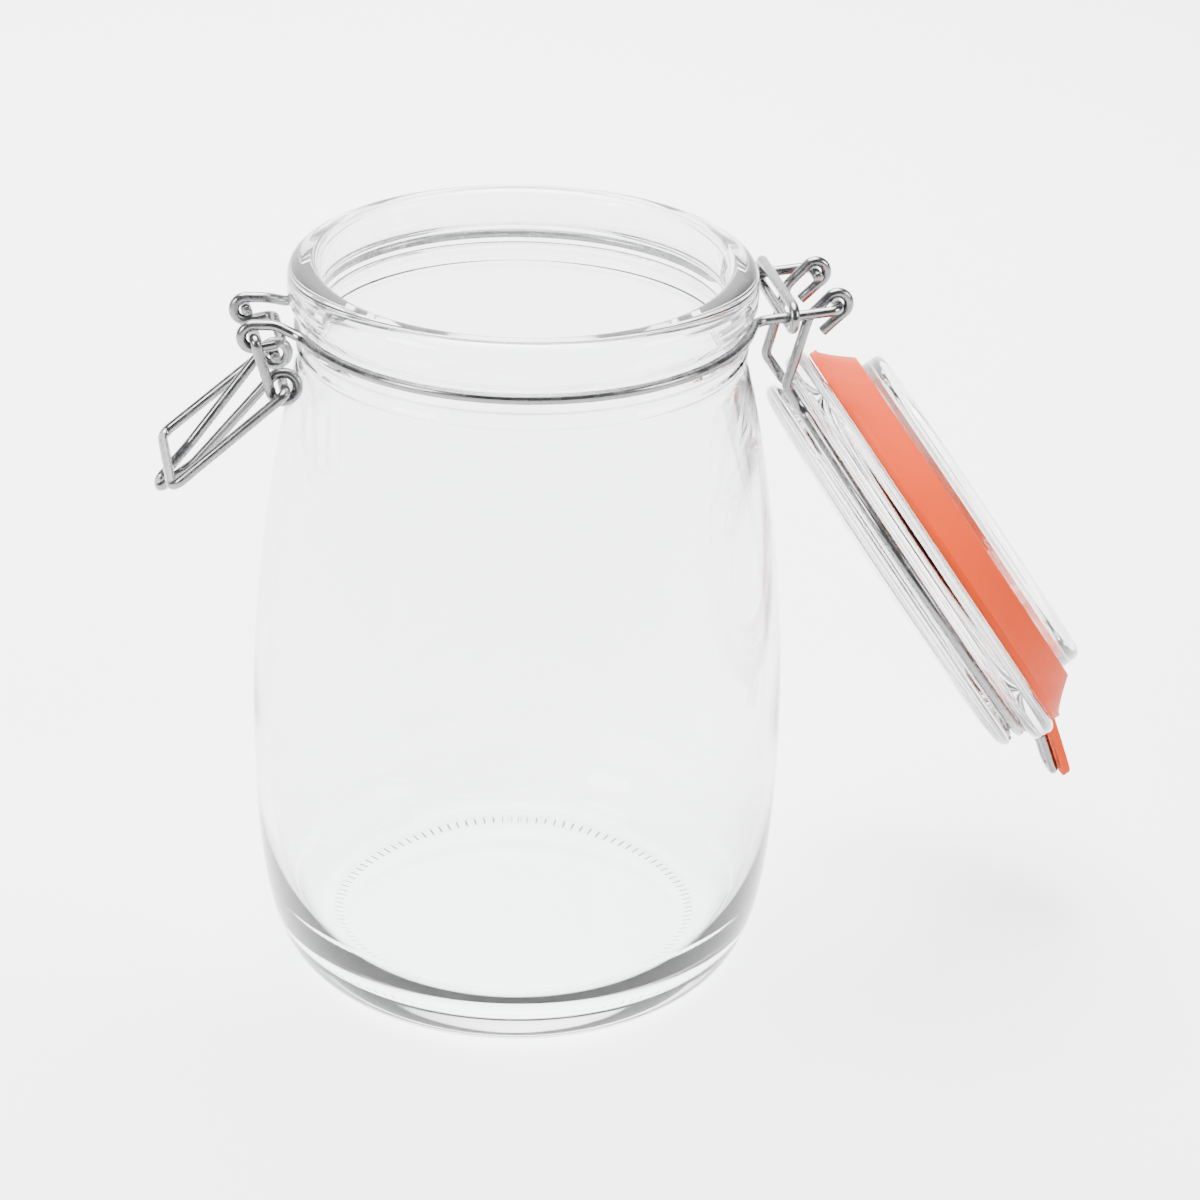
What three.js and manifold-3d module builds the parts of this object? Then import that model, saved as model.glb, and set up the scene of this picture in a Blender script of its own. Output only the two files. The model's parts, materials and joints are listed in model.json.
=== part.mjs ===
// Clip-top glass canister: a barrel-shaped glass jar, a glass lid on a sprung wire, a rubber gasket,
// and a wire latch. Millimetres, +Z up. The origin is the centre of the jar's underside, the hinge is
// on the +X side and the latch on the -X side. The lid is open and hangs beside the jar.
import * as THREE from 'three';
import { mergeVertices } from 'three/addons/utils/BufferGeometryUtils.js';
import Module from 'manifold-3d';

const RAD = Math.PI / 180;

// ---- jar glass
const jarHeight = 161.6;
const bellyRadius = 57.9;
const bellyHeight = 56;
const baseRadius = bellyRadius - 13.9;
const mouthRadius = 42.3;
const neckRadius = mouthRadius + 4.6;
const neckHeight = jarHeight - 19.6;
const lipRadius = mouthRadius + 6.7;
const lipDrop = 8.8;          // from the top of the lip to the lower edge of its bead
const lipRound = 3;
const lipInnerRound = 2.2;
const mouthDepth = 17;        // the straight bore of the mouth
const wallThickness = 3.4;
const floorThickness = 5;
const floorDome = 1.6;        // the floor is this much thicker in the middle

// ---- wires
const wireRadius = 1.1;
const clearance = 0.35;       // between pieces that touch or turn on each other
const eyeRadius = 2 * wireRadius + clearance;   // centre line of a wire turned round another one
const bendRadius = 2.4;

// ---- collar wire, in the groove under the lip
const collarDrop = 11.2;      // from the top of the lip to the collar's plane
const collarRadius = lipRadius - 0.8;
const grooveSlack = 0.4;      // between the collar wire and the bottom of its groove
const grooveRoom = 0.6;       // above and below the collar wire
const latchPinX = -(collarRadius + 8.8);
const eyeHalfWidth = 7.9;
const eyeTailX = latchPinX + 5.7;
const eyeTailDrop = 1.6;      // the bar between the two eyes lies this far under the pins
const latchLeave = 197;       // where the ring ends and the run to a latch eye begins, from +X
const hingePinX = collarRadius + 16.8;
const hingePinRise = 1.6;     // the hinge legs climb this far above the collar's plane
const hingeLegHalfWidth = 13;
const hingeLeave = 338;       // where the ring ends and a hinge leg begins, from +X
const hingePinReach = 6.2;    // the free end of a hinge pin, from the middle plane

// ---- keeper ring
const keeperX = hingePinX - 10.6;

// ---- lid glass
const flangeRadius = lipRadius + 1.5;
const flangeThickness = 5.8;
const flangeRound = 2.2;
const plugRadius = mouthRadius - 2.1;
const plugDepth = 13.5;
const plugWall = 4.2;
const panelRadius = flangeRadius - 2.9;
const panelHeight = 10.6;     // from the underside of the flange to the widest part of the panel
const panelCrown = 3.6;
const recessRise = 4;         // the hollow under the lid reaches this far above the flange's underside
const lidOpenAngle = 236;

// ---- gasket
const gasketRadius = lipRadius - 0.5;
const gasketThickness = 1;
const seatGap = 0.27;         // between the gasket and the glass above and below it
const gasketSkirt = 5.4;      // the inner edge is drawn down round the plug
const tabLength = 23;         // beyond the round edge
const tabHalfWidth = 6.2;

// ---- lid wire
const lidWireHeight = 7.3;    // from the underside of the flange to the plane of the wire
const lidWireRadius = panelRadius - 1.2;
const lidHookHalfWidth = 9.4;
const lidHookTail = 5.6;
const lidElbowOut = 1.2;      // from the hinge pin, with the lid closed
const lidElbowRise = 6.4;
const lidLegX = hingePinX - 9.4;
const lidLegLeave = 328;      // where the ring ends and a leg begins, from +X
const tongueLeave = 189;      // where the ring ends and the tongue begins
const tongueReach = flangeRadius + 18.5;
const tongueHalfWidth = 3.2;
const tongueKneeX = flangeRadius + 1.4;
const tongueSaddleX = flangeRadius + 6.7;   // the low place that the bail hooks over
const tongueSaddleDrop = 3.8; // from the ring's plane
const tongueSaddleRound = 3.5;
const tongueEndDrop = 1;

// ---- lever
const leverArmHalfWidth = eyeHalfWidth + 2 * wireRadius + 0.5;
const leverPinReach = 6.6;
const coilX = latchPinX + 5.8;
const coilDrop = 10.8;        // from the pins to the middle of the coils
const coilRadius = eyeRadius + 0.3;
const coilPitch = 2 * wireRadius + clearance;
const handleAngle = -129.7;   // of the long arms, from +X towards +Z
const handleLength = 25.4;
const handleEndHalfWidth = 5.2;
const noseAngle = -137;
const noseLength = 9.6;
const noseHalfWidth = 1.9;

// ---- bail
const bailPinHalfWidth = leverArmHalfWidth + 2 * wireRadius + 0.4;
const bailPinReach = 6.6;
const bailBarHalfWidth = bailPinHalfWidth + 0.7;

// ---- what follows from the sizes above
const collarHeight = jarHeight - collarDrop;
const hingePinHeight = collarHeight + hingePinRise;
const flangeUnderside = jarHeight + gasketThickness + 2 * seatGap;
const gasketTop = flangeUnderside - seatGap;
const lidWirePlane = flangeUnderside + lidWireHeight;
const coilHeight = collarHeight - coilDrop;

const glass = new THREE.MeshStandardMaterial({ color: 0xe9eeee, roughness: 0.05, metalness: 0 });
const steel = new THREE.MeshStandardMaterial({ color: 0x9b9b9b, roughness: 0.28, metalness: 1 });
const rubber = new THREE.MeshStandardMaterial({ color: 0xff6a3c, roughness: 0.55, metalness: 0 });

const part = new THREE.Group();

function addMesh(parent, name, geometry, material) {
  geometry.deleteAttribute('normal');
  geometry.deleteAttribute('uv');
  const mesh = new THREE.Mesh(mergeVertices(geometry, 1e-4), material);
  mesh.name = name;
  parent.add(mesh);
}

const wasm = await Module();
wasm.setup();

function solid(geometry) {
  geometry.deleteAttribute('normal');
  geometry.deleteAttribute('uv');
  const merged = mergeVertices(geometry, 1e-4);
  const vertProperties = new Float32Array(merged.getAttribute('position').array);
  const triVerts = new Uint32Array(merged.index.array);
  return new wasm.Manifold(new wasm.Mesh({ numProp: 3, vertProperties, triVerts }));
}

function fused(first, second) {
  const mesh = solid(first).add(solid(second)).getMesh();
  const geometry = new THREE.BufferGeometry();
  geometry.setAttribute('position', new THREE.BufferAttribute(mesh.vertProperties, 3));
  geometry.setIndex(new THREE.BufferAttribute(mesh.triVerts, 1));
  return geometry;
}

// ---- outlines of turned pieces: a path in (radius, height)

function turned(path, divisions, segments) {
  const points = path.getPoints(divisions);
  const kept = points.filter((p, i) => i === 0 || p.distanceTo(points[i - 1]) > 1e-3);
  const lathe = new THREE.LatheGeometry(kept, segments);
  return lathe.rotateX(Math.PI / 2);
}

// ---- bent wire: straight pieces, rounded corners and arcs, each as stations with a direction

class WirePath extends THREE.Curve {
  constructor(stations) {
    super();
    this.stations = stations;
  }
  station(u) {
    return this.stations[Math.round(u * (this.stations.length - 1))];
  }
  getPoint(t) {
    return this.station(t).point.clone();
  }
  getPointAt(u) {
    return this.station(u).point.clone();
  }
  getTangentAt(u) {
    return this.station(u).tangent.clone();
  }
}

const at = (x, y, z) => new THREE.Vector3(x, y, z);

// Stations along a row of corners; each inner corner is rounded with its own radius.
function bent(corners, radii, stepAngle = 22) {
  const stations = [];
  const first = corners[1].clone().sub(corners[0]).normalize();
  stations.push({ point: corners[0].clone(), tangent: first });
  for (let i = 1; i < corners.length - 1; i += 1) {
    const before = corners[i].clone().sub(corners[i - 1]).normalize();
    const after = corners[i + 1].clone().sub(corners[i]).normalize();
    const turn = before.angleTo(after);
    const radius = Array.isArray(radii) ? radii[i - 1] : radii;
    const setback = radius * Math.tan(turn / 2);
    const start = corners[i].clone().addScaledVector(before, -setback);
    const axis = before.clone().cross(after).normalize();
    const inward = axis.clone().cross(before);
    const centre = start.clone().addScaledVector(inward, radius);
    const steps = Math.max(1, Math.ceil(turn / RAD / stepAngle));
    for (let k = 0; k <= steps; k += 1) {
      const angle = (turn * k) / steps;
      const arm = start.clone().sub(centre).applyAxisAngle(axis, angle);
      stations.push({ point: centre.clone().add(arm), tangent: before.clone().applyAxisAngle(axis, angle) });
    }
  }
  const last = corners.at(-1).clone().sub(corners.at(-2)).normalize();
  stations.push({ point: corners.at(-1).clone(), tangent: last });
  return stations;
}

// Stations round a level ring, from one angle to another.
function ringArc(radius, height, from, to, stepAngle = 6) {
  const steps = Math.ceil(Math.abs(to - from) / stepAngle);
  const sense = Math.sign(to - from);
  return Array.from({ length: steps + 1 }, (_, k) => {
    const a = (from + ((to - from) * k) / steps) * RAD;
    return {
      point: at(radius * Math.cos(a), radius * Math.sin(a), height),
      tangent: at(-Math.sin(a) * sense, Math.cos(a) * sense, 0),
    };
  });
}

// Stations round an upright turn about a line along Y; the turn may drift sideways as a coil does.
function uprightArc(centreX, centreZ, radius, from, to, yFrom, yTo, stepAngle = 22) {
  const steps = Math.ceil(Math.abs(to - from) / stepAngle);
  const sense = Math.sign(to - from);
  const rise = (yTo - yFrom) / (radius * Math.abs(to - from) * RAD);
  return Array.from({ length: steps + 1 }, (_, k) => {
    const share = k / steps;
    const a = (from + (to - from) * share) * RAD;
    const blend = Math.min(1, 4 * Math.min(share, 1 - share));
    return {
      point: at(centreX + radius * Math.cos(a), yFrom + (yTo - yFrom) * share, centreZ + radius * Math.sin(a)),
      tangent: at(-Math.sin(a) * sense, rise * blend, Math.cos(a) * sense).normalize(),
    };
  });
}

function joined(...runs) {
  const all = runs.flat();
  return all.filter((s, i) => i === 0 || s.point.distanceTo(all[i - 1].point) > 0.02);
}

// The half on the -Y side, then its mirror image back again.
function mirrored(half) {
  const back = half.slice(0, -1).reverse().map((s) => ({
    point: s.point.clone().multiply(at(1, -1, 1)),
    tangent: s.tangent.clone().multiply(at(-1, 1, -1)),
  }));
  return [...half, ...back];
}

function wire(stations) {
  const section = new THREE.Shape();
  section.absarc(0, 0, wireRadius, 0, 2 * Math.PI);
  return new THREE.ExtrudeGeometry(section, {
    steps: stations.length - 1,
    extrudePath: new WirePath(stations),
    curveSegments: 4,
  });
}

const ringTangent = (radius, angle) => ({
  point: at(radius * Math.cos(angle * RAD), radius * Math.sin(angle * RAD), 0),
  along: at(Math.sin(angle * RAD), -Math.cos(angle * RAD), 0),
});

// Where the tangent of a level ring, taken towards +Y on its latch side, comes to a given Y.
function tangentMeets(radius, angle, y, height) {
  const { point, along } = ringTangent(radius, angle);
  const reach = (y - point.y) / along.y;
  return point.addScaledVector(along, reach).setZ(height);
}

// ---- jar

function jarOutline() {
  const grooveRadius = collarRadius - wireRadius - grooveSlack;
  const grooveHalf = wireRadius + grooveRoom;
  const beadBottom = jarHeight - lipDrop;
  const lipInner = mouthRadius + 1.6;
  const boreEnd = jarHeight - mouthDepth;
  const outline = new THREE.Path();
  outline.moveTo(0, 0);
  outline.lineTo(baseRadius, 0);
  outline.bezierCurveTo(baseRadius + 11, 0, bellyRadius, 18, bellyRadius, bellyHeight);
  outline.bezierCurveTo(bellyRadius, bellyHeight + 30, neckRadius + 6.2, neckHeight - 25,
    neckRadius, neckHeight);
  outline.lineTo(grooveRadius + 0.9, collarHeight - grooveHalf - 1.2);
  outline.lineTo(grooveRadius, collarHeight - grooveHalf);
  outline.lineTo(grooveRadius, collarHeight + grooveHalf);
  outline.lineTo(lipRadius, Math.max(beadBottom + 1, collarHeight + grooveHalf + 0.6));
  outline.lineTo(lipRadius, jarHeight - lipRound);
  outline.absarc(lipRadius - lipRound, jarHeight - lipRound, lipRound, 0, Math.PI / 2, false);
  outline.lineTo(lipInner, jarHeight);
  outline.quadraticCurveTo(mouthRadius, jarHeight, mouthRadius, jarHeight - lipInnerRound);
  outline.lineTo(mouthRadius, boreEnd);
  const inside = bellyRadius - wallThickness;
  outline.bezierCurveTo(mouthRadius + 5, neckHeight - 20, inside, bellyHeight + 36,
    inside, bellyHeight + 4);
  outline.bezierCurveTo(inside, 26, baseRadius + 10, floorThickness + 3,
    baseRadius - 4, floorThickness + 0.6);
  outline.lineTo(0, floorThickness + floorDome);
  return outline;
}

addMesh(part, 'jar_glass', turned(jarOutline(), 9, 48), glass);

// ---- collar wire

function collarHalf() {
  const pinTip = at(hingePinX, -hingePinReach, hingePinHeight);
  const pinCorner = at(hingePinX, -hingeLegHalfWidth, hingePinHeight);
  const leaving = ringTangent(collarRadius, hingeLeave);
  const reach = (-hingeLegHalfWidth - leaving.point.y) / -leaving.along.y;
  const legRoot = leaving.point.clone().addScaledVector(leaving.along, -reach).setZ(collarHeight);
  const ringEnd = leaving.point.clone().setZ(collarHeight);
  const hingeRun = bent([pinTip, pinCorner, legRoot, ringEnd], [bendRadius, 4]);
  const round = ringArc(collarRadius, collarHeight, hingeLeave, latchLeave);
  const ringStart = round.at(-1).point;
  const turnIn = tangentMeets(collarRadius, latchLeave, -eyeHalfWidth - 2.4, collarHeight);
  const overEye = at(latchPinX + 4.5, -eyeHalfWidth, collarHeight + eyeRadius - 0.3);
  const eyeTop = at(latchPinX, -eyeHalfWidth, collarHeight + eyeRadius);
  const toEye = bent([ringStart, turnIn, overEye, eyeTop], [6, 6]);
  const eye = uprightArc(latchPinX, collarHeight, eyeRadius, 90, 282, -eyeHalfWidth, -eyeHalfWidth);
  const tailCorner = at(eyeTailX, -eyeHalfWidth, collarHeight - eyeTailDrop);
  const tail = bent([eye.at(-1).point, tailCorner, at(eyeTailX, 0, collarHeight - eyeTailDrop)], 1.9);
  return joined(hingeRun, round, toEye, eye, tail);
}

addMesh(part, 'collar_wire', wire(mirrored(collarHalf())), steel);

// ---- keeper ring: a round link drawn out sideways until it spans both hinge legs

function keeperRing() {
  const segments = 20;
  const legFoot = collarRadius * Math.cos(hingeLeave * RAD);
  const keeperHeight = collarHeight + (hingePinRise * (keeperX - legFoot)) / (hingePinX - legFoot);
  const link = new THREE.TorusGeometry(eyeRadius, wireRadius, 8, segments);
  link.rotateZ(Math.PI / segments);
  const spots = link.getAttribute('position');
  for (let i = 0; i < spots.count; i += 1) {
    spots.setY(i, spots.getY(i) + Math.sign(spots.getY(i)) * hingeLegHalfWidth);
  }
  link.rotateY(Math.PI / 2);
  link.translate(keeperX, 0, keeperHeight);
  return link;
}

addMesh(part, 'keeper_ring', keeperRing(), steel);

// ---- lid: everything below is drawn with the lid shut, then swung open about the hinge pins

const lid = new THREE.Group();
lid.position.set(hingePinX, 0, hingePinHeight);
lid.rotation.y = lidOpenAngle * RAD;
part.add(lid);
const shutLid = new THREE.Group();
shutLid.position.set(-hingePinX, 0, -hingePinHeight);
lid.add(shutLid);

function lidOutline() {
  const base = flangeUnderside;
  const top = base + flangeThickness;
  const bore = plugRadius - plugWall;
  const plugEnd = base - plugDepth;
  const shoulder = base + panelHeight;
  const neck = lidWireRadius - wireRadius - clearance;
  const outline = new THREE.Path();
  outline.moveTo(0, base + recessRise);
  outline.lineTo(bore - 8, base + recessRise);
  outline.quadraticCurveTo(bore - 1, base + recessRise - 1, bore, plugEnd + 3);
  outline.quadraticCurveTo(bore + 0.6, plugEnd, plugRadius - plugWall / 2, plugEnd);
  outline.quadraticCurveTo(plugRadius - 0.9, plugEnd, plugRadius - 0.6, plugEnd + 2.4);
  outline.lineTo(plugRadius, base);
  outline.lineTo(flangeRadius - flangeRound, base);
  outline.absarc(flangeRadius - flangeRound, base + flangeRound, flangeRound, -Math.PI / 2, 0, false);
  outline.lineTo(flangeRadius, top - flangeRound);
  outline.absarc(flangeRadius - flangeRound, top - flangeRound, flangeRound, 0, Math.PI / 2, false);
  outline.lineTo(neck, top);
  outline.lineTo(neck, base + lidWireHeight + wireRadius);
  outline.lineTo(panelRadius, shoulder);
  outline.quadraticCurveTo(panelRadius, shoulder + 1.6, panelRadius - 3, shoulder + 2);
  outline.quadraticCurveTo(panelRadius / 2, shoulder + panelCrown, 0, shoulder + panelCrown);
  return outline;
}

addMesh(shutLid, 'lid_glass', turned(lidOutline(), 4, 48), glass);

// ---- gasket: a flat ring whose inner edge is drawn down round the plug, with a pull tab

function gasketRing() {
  const under = gasketTop - gasketThickness;
  const inner = plugRadius + clearance;
  const turnRadius = mouthRadius - 0.9;
  const outline = new THREE.Path();
  outline.moveTo(inner, gasketTop);
  outline.lineTo(inner, gasketTop - gasketSkirt);
  outline.lineTo(inner + 1, gasketTop - gasketSkirt);
  outline.lineTo(turnRadius, under - 0.6);
  outline.lineTo(turnRadius + 0.5, under);
  outline.lineTo(gasketRadius, under);
  outline.lineTo(gasketRadius, gasketTop);
  outline.lineTo(inner, gasketTop);
  return turned(outline, 1, 48);
}

function gasketTab() {
  const end = gasketRadius + tabLength - tabHalfWidth * 0.6;
  const outline = new THREE.Shape();
  outline.moveTo(-gasketRadius + 3, -tabHalfWidth - 2.5);
  outline.quadraticCurveTo(-gasketRadius - 2, -tabHalfWidth, -gasketRadius - 5, -tabHalfWidth);
  outline.lineTo(-end, -tabHalfWidth);
  outline.bezierCurveTo(-end - tabHalfWidth * 0.8, -tabHalfWidth,
    -end - tabHalfWidth * 0.8, tabHalfWidth, -end, tabHalfWidth);
  outline.lineTo(-gasketRadius - 5, tabHalfWidth);
  outline.quadraticCurveTo(-gasketRadius - 2, tabHalfWidth, -gasketRadius + 3, tabHalfWidth + 2.5);
  const slab = new THREE.ExtrudeGeometry(outline, {
    depth: gasketThickness, bevelEnabled: false, curveSegments: 6,
  });
  return slab.translate(0, 0, gasketTop - gasketThickness);
}

addMesh(shutLid, 'gasket', fused(gasketRing(), gasketTab()), rubber);

// ---- lid wire

function lidWireHalf() {
  const plane = lidWirePlane;
  const y = -lidHookHalfWidth;
  const tailStart = at(hingePinX - eyeRadius - 0.8, y, hingePinHeight + lidHookTail);
  const hook = uprightArc(hingePinX, hingePinHeight, eyeRadius, 172, 360, y, y);
  const elbow = at(hingePinX + lidElbowOut, y, hingePinHeight + lidElbowRise);
  const legTop = at(lidLegX, y, plane);
  const leaving = ringTangent(lidWireRadius, lidLegLeave);
  const reach = (leaving.point.y - y) / leaving.along.y;
  const legRoot = leaving.point.clone().addScaledVector(leaving.along, -reach).setZ(plane);
  const ringEnd = leaving.point.clone().setZ(plane);
  const leg = bent([hook.at(-1).point, elbow, legTop, legRoot, ringEnd], [3.2, bendRadius, 5]);
  const round = ringArc(lidWireRadius, plane, lidLegLeave, tongueLeave);
  const root = tangentMeets(lidWireRadius, tongueLeave, -tongueHalfWidth, plane);
  const bendDown = at(-tongueKneeX, -tongueHalfWidth, plane);
  const saddle = at(-tongueSaddleX, -tongueHalfWidth, plane - tongueSaddleDrop);
  const tip = at(-tongueReach, -tongueHalfWidth, plane - tongueEndDrop);
  const tongue = bent([round.at(-1).point, root, bendDown, saddle, tip, tip.clone().setY(0)],
    [1.9, bendRadius, tongueSaddleRound, 2.6]);
  return joined([{ point: tailStart, tangent: hook[0].tangent }], hook, leg, round, tongue);
}

addMesh(shutLid, 'lid_wire', wire(mirrored(lidWireHalf())), steel);

// ---- lever

const upright = (angle) => at(Math.cos(angle * RAD), 0, Math.sin(angle * RAD));
const noseAlong = upright(noseAngle);
const knee = at(coilX, 0, coilHeight)
  .addScaledVector(upright(handleAngle - 90), coilRadius)
  .addScaledVector(upright(handleAngle), handleLength);

function leverHalf() {
  const toCoil = at(coilX - latchPinX, 0, -coilDrop);
  const lineAngle = Math.atan2(toCoil.z, toCoil.x) / RAD;
  const offAngle = Math.asin(coilRadius / toCoil.length()) / RAD;
  const armAngle = lineAngle - offAngle;
  const coilFrom = armAngle + 270;
  const coilTo = handleAngle + 360 + 270;
  const arm = -leverArmHalfWidth;
  const coil = uprightArc(coilX, coilHeight, coilRadius, coilFrom, coilTo, arm, arm + coilPitch);
  const shortArm = bent([at(latchPinX, -leverPinReach, collarHeight), at(latchPinX, arm, collarHeight),
    coil[0].point], 1.3);
  const kneePoint = knee.clone().setY(-handleEndHalfWidth);
  const nose = kneePoint.clone().addScaledVector(noseAlong, noseLength).setY(-noseHalfWidth);
  const handle = bent([coil.at(-1).point, kneePoint, nose, nose.clone().setY(0)], [5, 1.8]);
  return joined(shortArm, coil, handle);
}

addMesh(part, 'lever', wire(mirrored(leverHalf())), steel);

// ---- bail: its length follows from the tongue it hooks over, and at rest its bar lies on the nose

const slopeIn = Math.atan2(tongueSaddleDrop, tongueSaddleX - tongueKneeX);
const slopeOut = Math.atan2(tongueSaddleDrop - tongueEndDrop, tongueReach - tongueSaddleX);
const saddleLift = tongueSaddleRound * (1 / Math.cos((slopeIn + slopeOut) / 2) - 1);
const saddleHeight = lidWirePlane - tongueSaddleDrop + saddleLift;
const barShut = at(-tongueSaddleX, 0, saddleHeight + eyeRadius);
const bailLength = barShut.distanceTo(at(coilX, 0, coilHeight));

function bailHalf() {
  const noseUp = at(noseAlong.z, 0, -noseAlong.x);
  const coilAbove = at(coilX, 0, coilHeight).sub(knee).dot(noseUp);
  const coilBehind = at(coilX, 0, coilHeight).sub(knee).dot(noseAlong);
  const barAlong = coilBehind + Math.sqrt(bailLength ** 2 - (eyeRadius - coilAbove) ** 2);
  const bar = knee.clone().addScaledVector(noseUp, eyeRadius).addScaledVector(noseAlong, barAlong);
  return bent([at(coilX, -bailPinReach, coilHeight), at(coilX, -bailPinHalfWidth, coilHeight),
    bar.clone().setY(-bailBarHalfWidth), bar], [1.6, 2.4]);
}

addMesh(part, 'bail', wire(mirrored(bailHalf())), steel);

export default part;
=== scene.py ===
"""Looks of a clip-top glass canister, built round the fixed frame.

It makes the glass, the wires, the rubber gasket and the stage.
"""

import json
import math

import bpy
from mathutils import Matrix, Vector


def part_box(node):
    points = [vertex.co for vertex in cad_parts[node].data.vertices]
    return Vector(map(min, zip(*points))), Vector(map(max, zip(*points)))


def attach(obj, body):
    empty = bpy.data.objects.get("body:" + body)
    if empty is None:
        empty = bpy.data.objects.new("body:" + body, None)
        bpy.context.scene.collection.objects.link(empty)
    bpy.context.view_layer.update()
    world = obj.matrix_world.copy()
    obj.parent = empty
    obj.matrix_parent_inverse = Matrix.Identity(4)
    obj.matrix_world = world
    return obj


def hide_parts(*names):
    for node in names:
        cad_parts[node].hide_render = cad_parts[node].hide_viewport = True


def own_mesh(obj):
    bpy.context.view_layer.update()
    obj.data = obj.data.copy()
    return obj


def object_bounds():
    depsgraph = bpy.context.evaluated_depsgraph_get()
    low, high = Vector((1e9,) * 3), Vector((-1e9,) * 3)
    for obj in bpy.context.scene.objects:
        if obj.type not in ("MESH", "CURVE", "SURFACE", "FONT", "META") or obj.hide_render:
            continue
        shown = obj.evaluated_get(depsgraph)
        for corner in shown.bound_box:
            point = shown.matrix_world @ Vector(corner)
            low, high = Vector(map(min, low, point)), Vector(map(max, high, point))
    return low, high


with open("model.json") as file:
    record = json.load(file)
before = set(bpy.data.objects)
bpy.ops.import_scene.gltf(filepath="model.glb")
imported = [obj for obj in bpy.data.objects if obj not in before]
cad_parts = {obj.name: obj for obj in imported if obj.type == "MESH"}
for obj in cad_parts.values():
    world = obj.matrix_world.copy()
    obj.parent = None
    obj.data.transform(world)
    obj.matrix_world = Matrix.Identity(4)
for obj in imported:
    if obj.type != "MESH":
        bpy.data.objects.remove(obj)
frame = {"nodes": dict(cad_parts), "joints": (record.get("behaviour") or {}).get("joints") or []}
CAD_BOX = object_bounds()

bl_info = {
    "name": "Clip-Top Canister",
    "version": (1, 0, 0),
    "blender": (4, 5, 0),
    "location": "View3D > Sidebar > Canister",
    "description": "Builds the glass, wires, gasket and stage of a clip-top canister",
    "category": "Object",
}

MM = 0.001
GAP = 0.35          # between pieces that touch or turn on each other
GASKET_GAP = 0.27   # between the gasket and the glass above and below it
MERGE = 0.02        # points of an outline or a route closer than this become one
WIRE_RADIUS = 1.1   # the wire that the routes and the lid's groove are drawn for
PLUG_RADIUS = 40.2  # the lid's plug, which the gasket is stretched over
LID_RING = 46.4     # centre line of the wire in the lid's groove

# ---------------------------------------------------------------- places, from the frame


def node_box(name):
    """A node's corners at rest, in millimetres."""
    low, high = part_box(name)
    return low / MM, high / MM


def joint_named(name):
    return next(j for j in frame["joints"] if j["name"] == name)


def joint_place(name):
    """A point on a joint's axis at rest, in millimetres."""
    return Vector(joint_named(name)["pos_m"]) / MM


HINGE = joint_place("lid_hinge")
LEVER_PIN = joint_place("lever_pivot")
COIL = joint_place("bail_pivot")
LID_OPEN = math.radians(joint_named("lid_hinge")["range_deg"][1])
JAR_TOP = node_box("jar_glass")[1].z
JAR_RADIUS = node_box("jar_glass")[1].x
COLLAR_HEIGHT = LEVER_PIN.z
FLANGE_RADIUS = node_box("lid_glass")[1].y
FLANGE_UNDERSIDE = JAR_TOP + 1 + 2 * GASKET_GAP
GASKET_RADIUS = node_box("gasket")[1].y


def lid_matrix():
    """From the shut lid's place to where it hangs open, in millimetres."""
    back = Matrix.Translation(-HINGE)
    swing = Matrix.Rotation(LID_OPEN, 4, "Y")
    return Matrix.Translation(HINGE) @ swing @ back


def lid_matrix_in_metres():
    return Matrix.Scale(MM, 4) @ lid_matrix() @ Matrix.Scale(1 / MM, 4)


# ---------------------------------------------------------------- settings a user would change


class CanisterGlass(bpy.types.PropertyGroup):
    """Sizes and finish of the pressed glass."""

    wall: bpy.props.FloatProperty(
        name="Wall", description="Thickness of the jar's wall, in millimetres", default=3.4, min=2, max=6)
    lip_radius: bpy.props.FloatProperty(
        name="Lip radius", description="Outer radius of the lip, in millimetres", default=49, min=40, max=52)
    mouth_radius: bpy.props.FloatProperty(
        name="Mouth radius", description="Radius of the bore, in millimetres", default=42.3, min=40, max=44)
    punt: bpy.props.FloatProperty(
        name="Punt", description="Rise of the hollow under the base, in millimetres",
        default=1.5, min=0, max=5)
    tint: bpy.props.FloatVectorProperty(
        name="Tint", description="Colour of the glass", subtype="COLOR", size=3,
        default=(0.965, 0.975, 0.975), min=0, max=1)
    roughness: bpy.props.FloatProperty(
        name="Roughness", description="Roughness of the glass", subtype="FACTOR", default=0.012, min=0, max=1)


class CanisterWire(bpy.types.PropertyGroup):
    """Size and finish of the bent wires."""

    radius: bpy.props.FloatProperty(
        name="Radius", description="Radius of the wire, in millimetres", default=1.1, min=0.8, max=1.3)
    sides: bpy.props.IntProperty(
        name="Sides", description="Sides of the wire's round section", default=18, min=8, max=48)
    colour: bpy.props.FloatVectorProperty(
        name="Colour", description="Colour of the steel", subtype="COLOR", size=3,
        default=(0.2, 0.2, 0.203), min=0, max=1)


class CanisterGasket(bpy.types.PropertyGroup):
    """Size and finish of the rubber gasket."""

    thickness: bpy.props.FloatProperty(
        name="Thickness", description="Thickness of the rubber, in millimetres", default=1.9, min=1, max=3)
    cup: bpy.props.FloatProperty(
        name="Cup", description="Fall from the outer edge to the inner edge, in millimetres",
        default=7.2, min=0, max=9)
    colour: bpy.props.FloatVectorProperty(
        name="Colour", description="Colour of the rubber", subtype="COLOR", size=3,
        default=(0.45, 0.034, 0.0), min=0, max=1)


class CanisterStage(bpy.types.PropertyGroup):
    """The floor and the light."""

    floor: bpy.props.FloatVectorProperty(
        name="Floor", description="Colour of the floor", subtype="COLOR", size=3,
        default=(0.93, 0.93, 0.93), min=0, max=1)
    key_power: bpy.props.FloatProperty(
        name="Overhead light", description="Power of the softbox overhead", subtype="POWER",
        default=76, min=0)


# ---------------------------------------------------------------- outlines of turned pieces


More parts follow.
